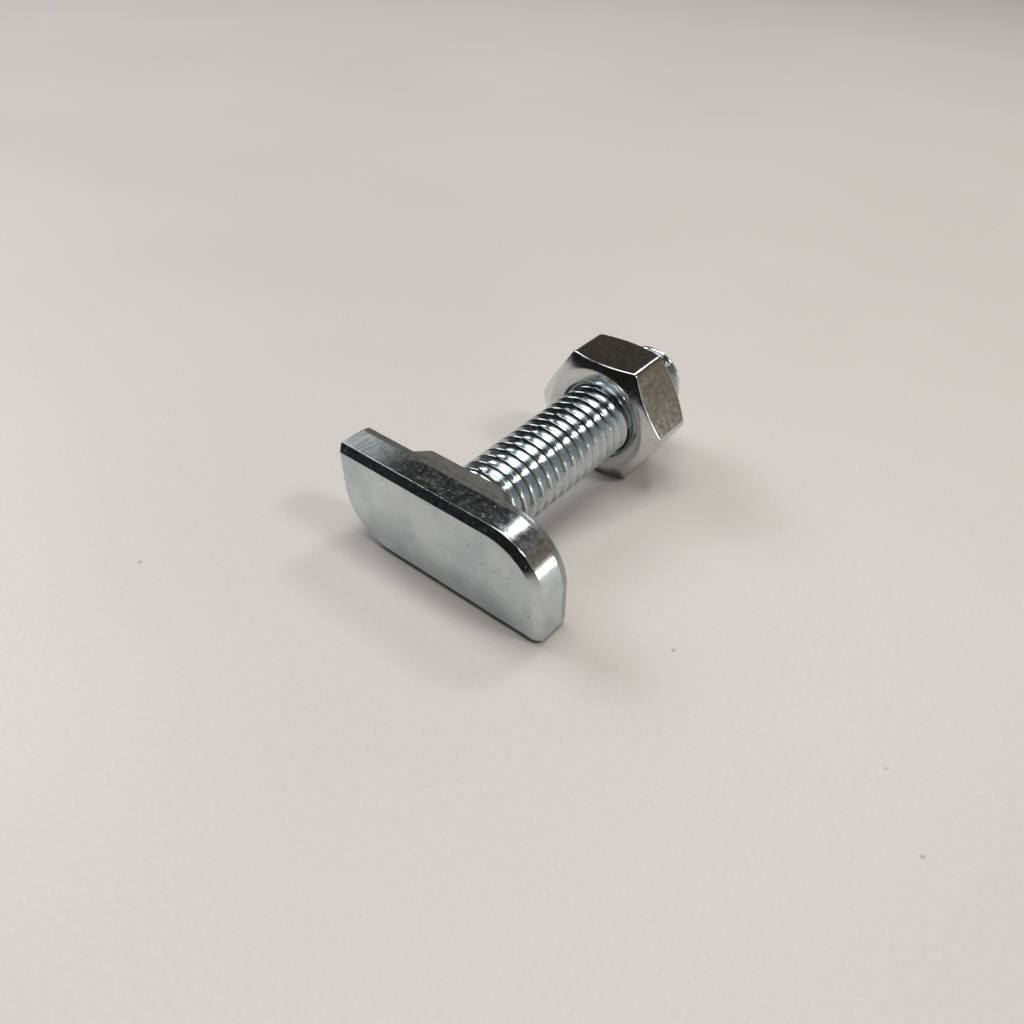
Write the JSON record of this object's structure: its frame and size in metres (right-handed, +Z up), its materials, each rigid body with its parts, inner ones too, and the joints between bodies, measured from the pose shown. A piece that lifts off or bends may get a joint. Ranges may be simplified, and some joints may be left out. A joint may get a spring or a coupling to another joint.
{
  "type": "t slot bolt",
  "caption": "Hammer-head bolt for T slots, with a short square neck, a metric thread and a plain hex nut on it, lying on its head's edge and the nut's flat.",
  "frame": {"origin": "centre of the bounding box in plan, on the floor that the bolt lies on", "axes": "+Z up, +Y from the head towards the tip with the shank's axis rising towards the tip, +X along the head's long side"},
  "size_m": [0.0236, 0.036, 0.0133],
  "materials": {
    "bolt_zinc": "bright zinc plate with fine pits",
    "nut_zinc": "bright zinc plate, smooth turned faces"
  },
  "bodies": {
    "bolt": {"t_bolt": "bolt_zinc"},
    "nut": {"hex_nut": "nut_zinc"}
  },
  "joints": [
    {"name": "nut_travel", "type": "slide", "parent": "bolt", "child": "nut", "axis": [0, 0.9983, 0.0588], "range_m": [-0.01785, 0.00905]}
  ]
}
